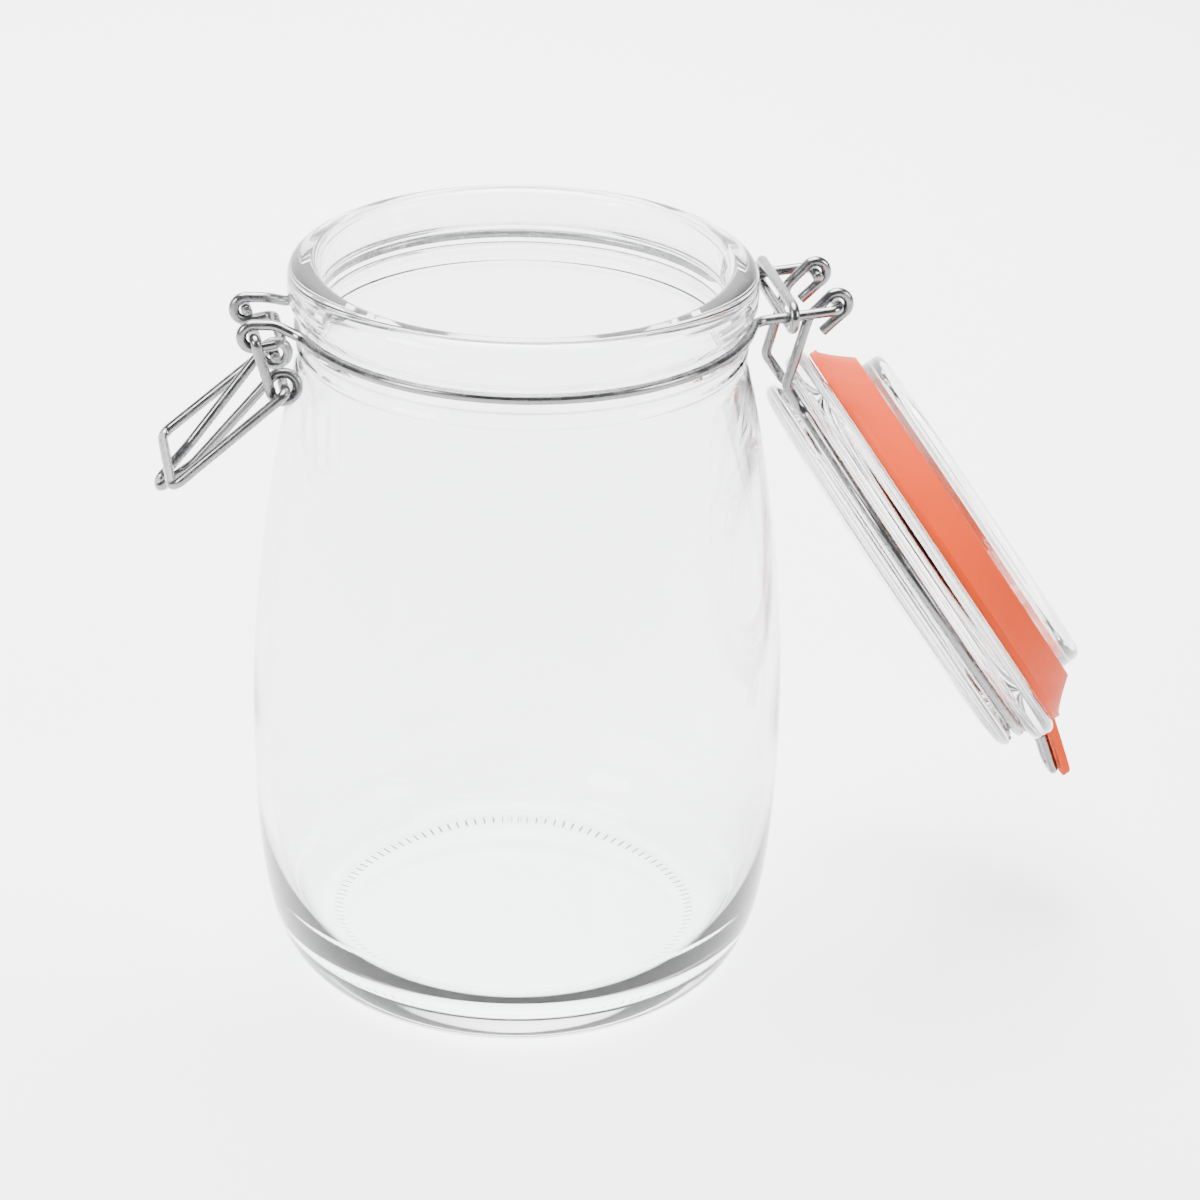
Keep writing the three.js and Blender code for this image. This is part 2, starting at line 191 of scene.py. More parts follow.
def arc(cx, cz, radius, start, end, steps=8):
    """Points of a circular arc in (radius, height), angles in degrees."""
    points = []
    for k in range(steps + 1):
        a = math.radians(start + (end - start) * k / steps)
        points.append((cx + radius * math.cos(a), cz + radius * math.sin(a)))
    return points


def bezier(p0, p1, p2, p3, steps=32):
    points = []
    for k in range(steps + 1):
        t = k / steps
        s = 1 - t
        points.append(tuple(
            s ** 3 * a + 3 * s * s * t * b + 3 * s * t * t * c + t ** 3 * d
            for a, b, c, d in zip(p0, p1, p2, p3)))
    return points


def softened(corners, radius, steps=5):
    """A run of straight pieces whose inner corners are rounded; a radius per corner, or one for all."""
    points = [corners[0]]
    radii = radius if isinstance(radius, (list, tuple)) else [radius] * (len(corners) - 2)
    for before, here, after, r in zip(corners, corners[1:], corners[2:], radii):
        corner = Vector(here)
        way_in = Vector(before) - corner
        way_out = Vector(after) - corner
        half = way_in.angle(way_out) / 2
        setback = min(r / math.tan(half), 0.48 * way_in.length, 0.48 * way_out.length)
        start = corner + way_in.normalized() * setback
        end = corner + way_out.normalized() * setback
        for k in range(steps + 1):
            t = k / steps
            points.append(tuple((1 - t) ** 2 * start + 2 * t * (1 - t) * corner + t * t * end))
    points.append(corners[-1])
    return points


def jar_outline(sizes):
    """From the middle of the underside, up the outside, over the lip and down the inside."""
    base = 44
    foot = 0.02
    punt_edge = 38.5
    belly = 56
    inner_belly = 60
    neck = (46.9, COLLAR_HEIGHT - 8.4)
    groove = 46.7
    groove_half = 1.5
    lip_round = 3.1
    inner_round = 1.9
    inside = JAR_RADIUS - sizes.wall
    lip = sizes.lip_radius
    mouth = sizes.mouth_radius
    bore_foot = (mouth + 0.5, JAR_TOP - 17)
    floor_edge = (38, 5.9)
    under = bezier((0, sizes.punt), (18, sizes.punt), (punt_edge - 9, foot), (punt_edge + 2, foot), 14)
    body = bezier((base, foot), (55, 0), (JAR_RADIUS, 18), (JAR_RADIUS, belly))
    shoulder = bezier((JAR_RADIUS, belly), (JAR_RADIUS, 86), (neck[0] + 6.2, 117), neck)
    beads = softened(
        [neck, (47.0, neck[1] + 1.1), (47.5, neck[1] + 2.0), (46.9, neck[1] + 2.9),
         (47.1, neck[1] + 4.5), (48.0, neck[1] + 5.7), (groove, COLLAR_HEIGHT - groove_half),
         (groove, COLLAR_HEIGHT + groove_half), (lip - 0.5, COLLAR_HEIGHT + 2.7), (lip, COLLAR_HEIGHT + 4.2),
         (lip, JAR_TOP - lip_round)],
        [0.8, 0.8, 0.8, 1, 0.7, 0.9, 0.9, 0.8, 1.4], steps=4)
    rim = arc(lip - lip_round, JAR_TOP - lip_round, lip_round, 0, 90, 10)
    lip_in = arc(mouth + inner_round, JAR_TOP - inner_round, inner_round, 90, 180, 8)
    bore = softened([(mouth, JAR_TOP - inner_round), (mouth, JAR_TOP - 12),
                     bore_foot], 8)
    inner_top = bezier(bore_foot, (mouth + 5, 122), (inside, 92), (inside, inner_belly))
    inner_low = bezier((inside, inner_belly), (inside, 26), (54, 8), floor_edge)
    middle = bezier(floor_edge, (30, 4.9), (18, 6.4), (0, 6.8), 12)
    return under + body + shoulder + beads + rim + lip_in + bore + inner_top + inner_low + middle


def lid_outline():
    """From the middle of the hollow, down round the plug, out over the flange and up to the crown."""
    base = FLANGE_UNDERSIDE
    plug = PLUG_RADIUS
    plug_end = base - 13.5
    plug_inner = plug - 4.2
    top = base + 5.8
    groove = LID_RING - WIRE_RADIUS - GAP
    flange_round = 2.2
    panel = 47.6
    panel_base = base + 10.6
    hollow_top = base + 4.2
    hollow_turn = (29, base + 3)
    crown_edge = (panel - 3.4, panel_base + 2.4)
    crown_top = panel_base + 3.6
    hollow = bezier((0, hollow_top), (14, hollow_top), (24, base + 4.0), hollow_turn, 10)
    hollow += bezier(hollow_turn, (34, base + 1.6), (plug_inner - 0.9, base - 4),
                     (plug_inner, plug_end + 2), 12)
    plug_run = arc(plug - 2.1, plug_end + 1.9, 1.9, 180, 360, 14)
    plug_side = softened([(plug - 0.2, plug_end + 2.2), (plug, base - 1.5), (plug + 0.1, base - 0.2),
                          (plug + 1.5, base)], 1.2)
    rings = []
    for k in range(4):
        r = plug + 2.6 + 1.5 * k
        rings += [(r, base), (r + 0.35, base + 0.22), (r + 0.75, base)]
    low_round = arc(FLANGE_RADIUS - flange_round, base + flange_round, flange_round, -90, 0)
    high_round = arc(FLANGE_RADIUS - flange_round, top - flange_round, flange_round, 0, 90)
    groove_run = softened(
        [(FLANGE_RADIUS - flange_round, top), (groove + 0.4, top), (groove, top + 1.2),
         (groove, base + 8.7), (panel - 0.5, base + 9.5), (panel, panel_base)],
        [0.8, 0.8, 0.8, 0.7])
    crown = bezier((panel, panel_base), (panel, panel_base + 1.6), (panel - 1.2, panel_base + 2.1),
                   crown_edge, 10)
    crown += bezier(crown_edge, (33, panel_base + 3.2), (16, crown_top), (0, crown_top), 20)
    return hollow + plug_run + plug_side + rings + low_round + high_round + groove_run + crown


TURN_SEGMENTS = 192


def turned_mesh(name, outline, segments):
    """A closed mesh made by turning an outline that starts and ends on the axis."""
    rows = [outline[0]]
    for point in outline[1:]:
        if (Vector(point) - Vector(rows[-1])).length > MERGE:
            rows.append(point)
    bottom, top = rows[0], rows[-1]
    vertices = [(0, 0, bottom[1] * MM)]
    for r, z in rows[1:-1]:
        for k in range(segments):
            a = 2 * math.pi * k / segments
            vertices.append((r * math.cos(a) * MM, r * math.sin(a) * MM, z * MM))
    vertices.append((0, 0, top[1] * MM))
    faces = []
    last = len(vertices) - 1
    rings = len(rows) - 2
    for k in range(segments):
        n = (k + 1) % segments
        faces.append((0, 1 + n, 1 + k))
        for i in range(rings - 1):
            a = 1 + i * segments
            b = a + segments
            faces.append((a + k, a + n, b + n, b + k))
        a = 1 + (rings - 1) * segments
        faces.append((a + k, a + n, last))
    mesh = bpy.data.meshes.new(name)
    mesh.from_pydata(vertices, [], faces)
    mesh.shade_smooth()
    return mesh


def new_piece(name, mesh, material):
    obj = bpy.data.objects.new(name, mesh)
    bpy.context.scene.collection.objects.link(obj)
    mesh.materials.append(material)
    return obj


# ---------------------------------------------------------------- bent wire

FINE = 7.0       # degrees between stations on a bend
RING_STEP = 2.5  # degrees between stations round the neck or the lid


def bent(corners, radii):
    """Points along a row of corners, each inner corner rounded with its own radius."""
    points = [Vector(corners[0])]
    radii = radii if isinstance(radii, (list, tuple)) else [radii] * (len(corners) - 2)
    for before, here, after, r in zip(corners, corners[1:], corners[2:], radii):
        corner = Vector(here)
        way_in = (corner - Vector(before)).normalized()
        way_out = (Vector(after) - corner).normalized()
        turn = way_in.angle(way_out)
        if turn < 1e-3:
            continue
        axis = way_in.cross(way_out).normalized()
        start = corner - way_in * r * math.tan(turn / 2)
        centre = start + axis.cross(way_in) * r
        steps = max(2, math.ceil(math.degrees(turn) / FINE))
        for k in range(steps + 1):
            turned = Matrix.Rotation(turn * k / steps, 3, axis) @ (start - centre)
            points.append(centre + turned)
    points.append(Vector(corners[-1]))
    return points


def ring_arc(radius, height, start, end):
    steps = math.ceil(abs(end - start) / RING_STEP)
    points = []
    for k in range(steps + 1):
        a = math.radians(start + (end - start) * k / steps)
        points.append(Vector((radius * math.cos(a), radius * math.sin(a), height)))
    return points


def upright_arc(cx, cz, radius, start, end, y_start, y_end):
    steps = math.ceil(abs(end - start) / FINE)
    points = []
    for k in range(steps + 1):
        share = k / steps
        a = math.radians(start + (end - start) * share)
        y = y_start + (y_end - y_start) * share
        points.append(Vector((cx + radius * math.cos(a), y, cz + radius * math.sin(a))))
    return points


def joined(*runs):
    points = []
    for run in runs:
        for point in run:
            if not points or (point - points[-1]).length > MERGE:
                points.append(point)
    return points


def mirrored(half):
    """The half on the -Y side, then its mirror image back again."""
    back = [Vector((p.x, -p.y, p.z)) for p in reversed(half[:-1])]
    return half + back


def ring_tangent(radius, angle):
    a = math.radians(angle)
    point = Vector((radius * math.cos(a), radius * math.sin(a), 0))
    along = Vector((math.sin(a), -math.cos(a), 0))
    return point, along


def tangent_meets(radius, angle, y, height):
    """Where the tangent of a level ring comes to a given Y."""
    point, along = ring_tangent(radius, angle)
    met = point + along * ((y - point.y) / along.y)
    return Vector((met.x, met.y, height))


def wire_mesh(name, points, radius, sides, closed=False):
    """A round wire swept along points without twisting, with dressed ends and a running UV along it."""
    count = len(points)
    tangents = []
    for i in range(count):
        before = points[i - 1] if closed or i else points[0]
        after = points[(i + 1) % count] if closed else points[min(i + 1, count - 1)]
        tangents.append((after - before).normalized())
    side = tangents[0].orthogonal().normalized()
    stations = []
    run = 0.0
    for i in range(count):
        side = (side - tangents[i] * side.dot(tangents[i])).normalized()
        stations.append((points[i], side.copy(), tangents[i].cross(side), radius, run))
        run += (points[(i + 1) % count] - points[i]).length
    if not closed:
        for sense, end in ((-1, 0), (1, -1)):
            point, u, v, _, length = stations[end]
            along = tangents[end] * sense
            dress = [(point + along * radius * 0.12, u, v, radius * 0.93, length + 0.1 * sense),
                     (point + along * radius * 0.22, u, v, radius * 0.74, length + 0.2 * sense)]
            stations = stations + dress if sense > 0 else dress[::-1] + stations
    vertices = []
    for point, u, v, r, _ in stations:
        for k in range(sides):
            a = 2 * math.pi * k / sides
            vertices.append((point + u * r * math.cos(a) + v * r * math.sin(a)) * MM)
    faces = []
    uvs = []
    rows = len(stations)
    for i in range(rows if closed else rows - 1):
        j = (i + 1) % rows
        low = stations[i][4]
        high = stations[j][4] if j else run
        for k in range(sides):
            n = (k + 1) % sides
            faces.append((i * sides + k, i * sides + n, j * sides + n, j * sides + k))
            uvs += [(low, k / sides), (low, (k + 1) / sides), (high, (k + 1) / sides), (high, k / sides)]
    if not closed:
        faces.append(tuple(reversed(range(sides))))
        faces.append(tuple(range((rows - 1) * sides, rows * sides)))
        uvs += [(0, 0.5)] * sides + [(run, 0.5)] * sides
    mesh = bpy.data.meshes.new(name)
    mesh.from_pydata(vertices, [], faces)
    layer = mesh.uv_layers.new(name="along_wire")
    for loop, uv in zip(layer.data, uvs):
        loop.uv = (uv[0] * 0.1, uv[1])
    mesh.shade_smooth()
    return mesh


# ---------------------------------------------------------------- routes of the wires

EYE = 2 * WIRE_RADIUS + GAP   # centre line of a wire turned round another one
COIL_RADIUS = EYE + 0.3
PIN_TIP = -6.6
COLLAR_RADIUS = 48.2
HINGE_LEAVE = 338
LEG_Y = 13
EYE_Y = 7.9
LID_RING_HEIGHT = FLANGE_UNDERSIDE + 7.3


def collar_route():
    """Hinge pin, hinge leg, round the neck, latch eye, and the bar between the eyes."""
    pin_tip = (HINGE.x, -6.2, HINGE.z)
    pin_corner = (HINGE.x, -LEG_Y, HINGE.z)
    start, along = ring_tangent(COLLAR_RADIUS, HINGE_LEAVE)
    reach = (-LEG_Y - start.y) / -along.y
    root = start - along * reach
    leg_root = (root.x, root.y, COLLAR_HEIGHT)
    ring_end = (start.x, start.y, COLLAR_HEIGHT)
    hinge_run = bent([pin_tip, pin_corner, leg_root, ring_end], [2.4, 4])
    leave = 197
    ring = ring_arc(COLLAR_RADIUS, COLLAR_HEIGHT, HINGE_LEAVE, leave)
    turn_in = tangent_meets(COLLAR_RADIUS, leave, -EYE_Y - 2.4, COLLAR_HEIGHT)
    over_eye = (LEVER_PIN.x + 4.5, -EYE_Y, COLLAR_HEIGHT + EYE - 0.3)
    eye_top = (LEVER_PIN.x, -EYE_Y, COLLAR_HEIGHT + EYE)
    to_eye = bent([ring[-1], turn_in, over_eye, eye_top], 6)
    eye = upright_arc(LEVER_PIN.x, COLLAR_HEIGHT, EYE, 90, 282, -EYE_Y, -EYE_Y)
    tail_x = -51.3
    tail_z = COLLAR_HEIGHT - 1.6
    tail = bent([eye[-1], (tail_x, -EYE_Y, tail_z), (tail_x, 0, tail_z)], 1.9)
    return mirrored(joined(hinge_run, ring, to_eye, eye, tail))


def keeper_route():
    """A link that spans both hinge legs."""
    low, high = node_box("keeper_ring")
    middle = (low + high) / 2
    bottom = [Vector((middle.x, p.x, p.y)) for p in
              [Vector(q) for q in arc(-LEG_Y, middle.z, EYE, 270, 90, 20)]]
    top = [Vector((middle.x, p.x, p.y)) for p in
           [Vector(q) for q in arc(LEG_Y, middle.z, EYE, 90, -90, 20)]]
    return bottom + top


def lid_wire_route():
    """Hook, leg, round the lid's groove, and the tongue that the bail catches; drawn with the lid shut."""
    y = -9.4
    plane = LID_RING_HEIGHT
    tail = Vector((HINGE.x - EYE - 0.8, y, HINGE.z + 5.6))
    hook = upright_arc(HINGE.x, HINGE.z, EYE, 172, 360, y, y)
    elbow = (HINGE.x + 1.2, y, HINGE.z + 6.4)
    leg_top = (55.6, y, plane)
    leg_angle = 328
    start, along = ring_tangent(LID_RING, leg_angle)
    root = start - along * ((start.y - y) / along.y)
    leg = bent([hook[-1], elbow, leg_top, (root.x, root.y, plane), (start.x, start.y, plane)], [3.2, 2.4, 5])
    leave = 189
    ring = ring_arc(LID_RING, plane, leg_angle, leave)
    tongue_y = -3.2
    tongue_root = tangent_meets(LID_RING, leave, tongue_y, plane)
    knee = (-FLANGE_RADIUS - 1.4, tongue_y, plane)
    saddle = (-57.2, tongue_y, plane - 3.8)
    tip = (-69, tongue_y, plane - 1)
    tongue = bent([ring[-1], tongue_root, knee, saddle, tip, (tip[0], 0, tip[2])], [1.9, 2.4, 3.5, 2.6])
    return mirrored(joined([tail], hook, leg, ring, tongue))


HANDLE_ANGLE = math.radians(-129.7)
NOSE_ANGLE = math.radians(-137)
HANDLE_LENGTH = 25.4


NOSE_LENGTH = 9.6


def heading(angle):
    """A unit step in the XZ plane."""
    return Vector((math.cos(angle), 0, math.sin(angle)))


def lever_knee():
    """Where the handle bends into the nose."""
    leaves_coil = COIL + heading(HANDLE_ANGLE - math.pi / 2) * COIL_RADIUS
    return leaves_coil + heading(HANDLE_ANGLE) * HANDLE_LENGTH


def lever_route():
    """Pin, short arm, coil round the bail's pin, long arm, and the nose where a thumb presses."""
    to_coil = COIL - LEVER_PIN
    line = math.degrees(math.atan2(to_coil.z, to_coil.x))
    off = math.degrees(math.asin(COIL_RADIUS / to_coil.length))
    arm_y = -10.6
    coil = upright_arc(COIL.x, COIL.z, COIL_RADIUS, line - off + 270,
                       math.degrees(HANDLE_ANGLE) + 630, arm_y, arm_y + EYE)
    short_arm = bent([(LEVER_PIN.x, PIN_TIP, LEVER_PIN.z), (LEVER_PIN.x, arm_y, LEVER_PIN.z), coil[0]], 1.3)
    knee = lever_knee()
    nose = knee + heading(NOSE_ANGLE) * NOSE_LENGTH
    handle = bent([coil[-1], (knee.x, -5.2, knee.z), (nose.x, -1.9, nose.z), (nose.x, 0, nose.z)], [5, 1.8])
    return mirrored(joined(short_arm, coil, handle))


def bail_route():
    """Pins in the lever's coils, two arms and the bar that hooks over the tongue."""
    low = node_box("bail")[0]
    bar_x = low.x + WIRE_RADIUS
    bar_z = low.z + WIRE_RADIUS
    return mirrored(bent([(COIL.x, PIN_TIP, COIL.z), (COIL.x, -13.2, COIL.z), (bar_x, -13.9, bar_z),
                          (bar_x, 0, bar_z)], [1.6, 2.4]))


# ---------------------------------------------------------------- gasket


GASKET_BORE = PLUG_RADIUS + GAP
TAB_FLARE = 15    # degrees either side of -X where the ring starts to widen into the tab
TAB_ROOT = -54.5  # where the tab's sides become straight
TAB_END = 4.5     # length of the tab's rounded end


def gasket_edge():
    """The outer edge as points in (x, y), round the ring and out along the pull tab on the -X side."""
    half = 6.2
    tip = -pull_tab_reach()
    start = 180 - TAB_FLARE
    points = []
    for k in range(241):
        a = math.radians(-start + 2 * start * k / 240)
        points.append(Vector((GASKET_RADIUS * math.cos(a), GASKET_RADIUS * math.sin(a))))
    flare = [points[-1], Vector((-50, 7.6)), Vector((TAB_ROOT, half))]
    side = [Vector((1 - t) ** 2 * flare[0] + 2 * t * (1 - t) * flare[1] + t * t * flare[2])
            for t in [k / 12 for k in range(1, 13)]]
    side += [Vector((TAB_ROOT + (tip + (TAB_END - TAB_ROOT)) * k / 10, half)) for k in range(1, 11)]
    centre = tip + TAB_END
    end = [Vector((centre - TAB_END * math.sin(math.radians(a)), half * math.cos(math.radians(a))))
           for a in range(9, 90, 9)]
    up = side + end
    down = [Vector((p.x, -p.y)) for p in reversed(up)]
    return points + up + [Vector((tip, 0))] + down


def pull_tab_reach():
    """How far the pull tab reaches from the axis, with the lid shut."""
    mesh = frame["nodes"]["gasket"].data
    shut = lid_matrix().inverted()
    return -min((shut @ (v.co / MM)).x for v in mesh.vertices)


def gasket_height(r, sizes):
    """Height of the gasket's upper face under the flange, cupped towards the plug, curled up at the tab."""
    turn = GASKET_RADIUS - 1.2
    if r < turn:
        share = (turn - r) / (turn - GASKET_BORE)
        return -sizes.cup * (0.55 * share + 0.45 * share ** 1.5)
    if r > GASKET_RADIUS + 0.2:
        return 5.0 * ((r - GASKET_RADIUS - 0.2) / 20.4) ** 1.04
    return 0.0


def gasket_mesh(sizes):
    """Spokes from the inner edge to the outer edge, each carrying the section of the moulded rubber."""
    inner = GASKET_BORE
    edge = gasket_edge()
    soft = 0.28
    thick = sizes.thickness
    top = FLANGE_UNDERSIDE - GASKET_GAP
    vertices = []
    for point in edge:
        angle = math.atan2(point.y, point.x)
        spoke = Vector((math.cos(angle), math.sin(angle)))
        reach = point.length
        middle = [inner + soft + (reach - inner - 2 * soft) * k / 20 for k in range(21)]
        upper = [(r, 0.0) for r in middle] + [(reach - 0.3 * soft, 0.3 * soft), (reach, soft)]
        lower = [(reach, thick - soft), (reach - 0.3 * soft, thick - 0.3 * soft)]
        lower += [(r, thick) for r in reversed(middle)]
        lower += [(inner + 0.3 * soft, thick - 0.3 * soft), (inner, thick - soft), (inner, soft),
                  (inner + 0.3 * soft, 0.3 * soft)]
        for r, depth in upper + lower:
            slope = (gasket_height(r + 0.1, sizes) - gasket_height(r - 0.1, sizes)) / 0.2
            lean = depth * math.sin(math.atan(slope)) * (r < GASKET_RADIUS - 1)
            here = spoke * max(r + lean, inner)
            z = top + gasket_height(r, sizes) - depth * math.cos(math.atan(slope))
            vertices.append((here.x * MM, here.y * MM, z * MM))
    count = len(edge)
    width = len(vertices) // count
    faces = []
    for i in range(count):
        j = (i + 1) % count
        for k in range(width):
            n = (k + 1) % width
            faces.append((i * width + k, i * width + n, j * width + n, j * width + k))
    mesh = bpy.data.meshes.new("gasket_rubber")
    mesh.from_pydata(vertices, [], faces)
    mesh.shade_smooth()
    mesh.set_sharp_from_angle(angle=math.radians(50))
    return mesh


# ---------------------------------------------------------------- materials


def node_group(name, inputs, outputs):
    group = bpy.data.node_groups.new(name, "ShaderNodeTree")
    for label, kind, default in inputs:
        socket = group.interface.new_socket(label, in_out="INPUT", socket_type=kind)
        socket.default_value = default
    for label, kind in outputs:
        group.interface.new_socket(label, in_out="OUTPUT", socket_type=kind)
    return group, group.nodes.new("NodeGroupInput"), group.nodes.new("NodeGroupOutput")


def handling_group():
    """Faint smears of use: a roughness and a height that change over the surface."""
    name = "handling_marks"
    if name in bpy.data.node_groups:
        return bpy.data.node_groups[name]
    group, given, out = node_group(
        name,
        [("Vector", "NodeSocketVector", (0, 0, 0)), ("Scale", "NodeSocketFloat", 40.0),
         ("Low", "NodeSocketFloat", 0.2), ("High", "NodeSocketFloat", 0.3)],
        [("Roughness", "NodeSocketFloat"), ("Height", "NodeSocketFloat")])
    nodes, links = group.nodes, group.links
    smear = nodes.new("ShaderNodeTexNoise")
    smear.inputs["Detail"].default_value = 4
    smear.inputs["Roughness"].default_value = 0.6
    spread = nodes.new("ShaderNodeMapRange")
    spread.inputs["From Min"].default_value = 0.35
    spread.inputs["From Max"].default_value = 0.7
    links.new(given.outputs["Vector"], smear.inputs["Vector"])
    links.new(given.outputs["Scale"], smear.inputs["Scale"])
    links.new(smear.outputs["Fac"], spread.inputs["Value"])
    links.new(given.outputs["Low"], spread.inputs["To Min"])
    links.new(given.outputs["High"], spread.inputs["To Max"])
    links.new(spread.outputs["Result"], out.inputs["Roughness"])
    links.new(smear.outputs["Fac"], out.inputs["Height"])
    return group


def principled(name, colour):
    material = bpy.data.materials.new(name)
    material.use_nodes = True
    shader = material.node_tree.nodes["Principled BSDF"]
    shader.inputs["Base Color"].default_value = (*colour, 1)
    return material, material.node_tree.nodes, material.node_tree.links, shader


def add_marks(nodes, links, vector, scale, low, high):
    marks = nodes.new("ShaderNodeGroup")
    marks.node_tree = handling_group()
    marks.inputs["Scale"].default_value = scale
    marks.inputs["Low"].default_value = low
    marks.inputs["High"].default_value = high
    links.new(vector, marks.inputs["Vector"])
    return marks


def knurl_group():
    """Height of a ring of short radial ridges round the bottom of the jar."""
    group, given, out = node_group(
        "base_knurl",
        [("Vector", "NodeSocketVector", (0, 0, 0)), ("Ridges", "NodeSocketFloat", 116.0),
         ("Radius", "NodeSocketFloat", 0.0418), ("Half Length", "NodeSocketFloat", 0.0013),
         ("Top", "NodeSocketFloat", 0.0012)],
        [("Height", "NodeSocketFloat")])
    nodes, links = group.nodes, group.links

    def maths(operation, *values, clamp=False):
        node = nodes.new("ShaderNodeMath")
        node.operation = operation
        node.use_clamp = clamp
        for socket, value in zip(node.inputs, values):
            if isinstance(value, (int, float)):
                socket.default_value = value
            else:
                links.new(value, socket)
        return node.outputs["Value"]

    axes = nodes.new("ShaderNodeSeparateXYZ")
    links.new(given.outputs["Vector"], axes.inputs["Vector"])
    x, y, z = (axes.outputs[k] for k in "XYZ")
    turn = maths("MULTIPLY", maths("ARCTAN2", y, x), given.outputs["Ridges"])
    ridge = maths("SUBTRACT", maths("SINE", turn), 0.2, clamp=True)
    radius = maths("SQRT", maths("ADD", maths("MULTIPLY", x, x), maths("MULTIPLY", y, y)))
    off = maths("ABSOLUTE", maths("SUBTRACT", radius, given.outputs["Radius"]))
    inside = maths("LESS_THAN", off, given.outputs["Half Length"])
    low = maths("LESS_THAN", z, given.outputs["Top"])
    links.new(maths("MULTIPLY", maths("MULTIPLY", ridge, inside), low), out.inputs["Height"])
    return group


def glass_material(settings):
    """Clear pressed glass: its surface waves a little, and a knurled ring shows under the base."""
    name = "pressed_glass"
    if name in bpy.data.materials:
        return bpy.data.materials[name]
    material, nodes, links, shader = principled(name, settings.tint)
    shader.inputs["Transmission Weight"].default_value = 1
    shader.inputs["IOR"].default_value = 1.5
    place = nodes.new("ShaderNodeTexCoord")
    marks = add_marks(nodes, links, place.outputs["Object"], 22, settings.roughness, settings.roughness * 2.2)
    links.new(marks.outputs["Roughness"], shader.inputs["Roughness"])
    wave = nodes.new("ShaderNodeTexNoise")
    wave.inputs["Scale"].default_value = 16
    wave.inputs["Detail"].default_value = 1
    stretch = nodes.new("ShaderNodeVectorMath")
    stretch.operation = "MULTIPLY"
    stretch.inputs[1].default_value = (1, 1, 0.35)
    links.new(place.outputs["Object"], stretch.inputs[0])
    links.new(stretch.outputs["Vector"], wave.inputs["Vector"])
    knurl = nodes.new("ShaderNodeGroup")
    knurl.node_tree = knurl_group()
    links.new(place.outputs["Object"], knurl.inputs["Vector"])
    height = nodes.new("ShaderNodeMath")
    height.operation = "ADD"
    links.new(wave.outputs["Fac"], height.inputs[0])
    links.new(knurl.outputs["Height"], height.inputs[1])
    bump = nodes.new("ShaderNodeBump")
    bump.inputs["Strength"].default_value = 0.35
    bump.inputs["Distance"].default_value = 0.0006
    links.new(height.outputs["Value"], bump.inputs["Height"])
    links.new(bump.outputs["Normal"], shader.inputs["Normal"])
    # Light falls through the glass, so the floor under the jar stays bright.
    passing = nodes.new("ShaderNodeBsdfTransparent")
    passing.inputs["Color"].default_value = (0.94, 0.95, 0.95, 1)
    path = nodes.new("ShaderNodeLightPath")
    choice = nodes.new("ShaderNodeMixShader")
    links.new(path.outputs["Is Shadow Ray"], choice.inputs["Fac"])
    links.new(shader.outputs["BSDF"], choice.inputs[1])
    links.new(passing.outputs["BSDF"], choice.inputs[2])
    links.new(choice.outputs["Shader"], nodes["Material Output"].inputs["Surface"])
    return material


def wire_material(settings):
    """Bright drawn steel wire, with fine die lines along it."""
    name = "drawn_steel"
    if name in bpy.data.materials:
        return bpy.data.materials[name]
    material, nodes, links, shader = principled(name, settings.colour)
    shader.inputs["Metallic"].default_value = 1
    place = nodes.new("ShaderNodeTexCoord")
    marks = add_marks(nodes, links, place.outputs["Object"], 260, 0.16, 0.34)
    links.new(marks.outputs["Roughness"], shader.inputs["Roughness"])
    stretch = nodes.new("ShaderNodeVectorMath")
    stretch.operation = "MULTIPLY"
    stretch.inputs[1].default_value = (0.25, 26, 1)
    lines = nodes.new("ShaderNodeTexNoise")
    lines.inputs["Scale"].default_value = 1
    lines.inputs["Detail"].default_value = 3
    links.new(place.outputs["UV"], stretch.inputs[0])
    links.new(stretch.outputs["Vector"], lines.inputs["Vector"])
    shade = nodes.new("ShaderNodeMix")
    shade.data_type = "RGBA"
    shade.inputs["A"].default_value = (*[0.78 * c for c in settings.colour], 1)
    shade.inputs["B"].default_value = (*[min(1, 1.18 * c) for c in settings.colour], 1)
    links.new(lines.outputs["Fac"], shade.inputs["Factor"])
    links.new(shade.outputs["Result"], shader.inputs["Base Color"])
    bump = nodes.new("ShaderNodeBump")
    bump.inputs["Strength"].default_value = 0.25
    bump.inputs["Distance"].default_value = 0.0001
    links.new(lines.outputs["Fac"], bump.inputs["Height"])
    links.new(bump.outputs["Normal"], shader.inputs["Normal"])
    return material


def rubber_material(settings):
    """Orange rubber: slightly satin, with a fine moulded grain and a tone that varies a little."""
    name = "orange_rubber"
    if name in bpy.data.materials:
        return bpy.data.materials[name]
    material, nodes, links, shader = principled(name, settings.colour)
    shader.inputs["Specular IOR Level"].default_value = 0.15
    place = nodes.new("ShaderNodeTexCoord")
    marks = add_marks(nodes, links, place.outputs["Object"], 90, 0.6, 0.78)
    links.new(marks.outputs["Roughness"], shader.inputs["Roughness"])
    tone = nodes.new("ShaderNodeMix")
    tone.data_type = "RGBA"
    tone.inputs["A"].default_value = (*[0.9 * c for c in settings.colour], 1)
    tone.inputs["B"].default_value = (*[min(1, 1.06 * c) for c in settings.colour], 1)
    links.new(marks.outputs["Height"], tone.inputs["Factor"])
    links.new(tone.outputs["Result"], shader.inputs["Base Color"])
    grain = nodes.new("ShaderNodeTexNoise")
    grain.inputs["Scale"].default_value = 1800
    grain.inputs["Detail"].default_value = 2
    links.new(place.outputs["Object"], grain.inputs["Vector"])
    bump = nodes.new("ShaderNodeBump")
    bump.inputs["Strength"].default_value = 0.2
    bump.inputs["Distance"].default_value = 0.0001
    links.new(grain.outputs["Fac"], bump.inputs["Height"])
    links.new(bump.outputs["Normal"], shader.inputs["Normal"])
    return material


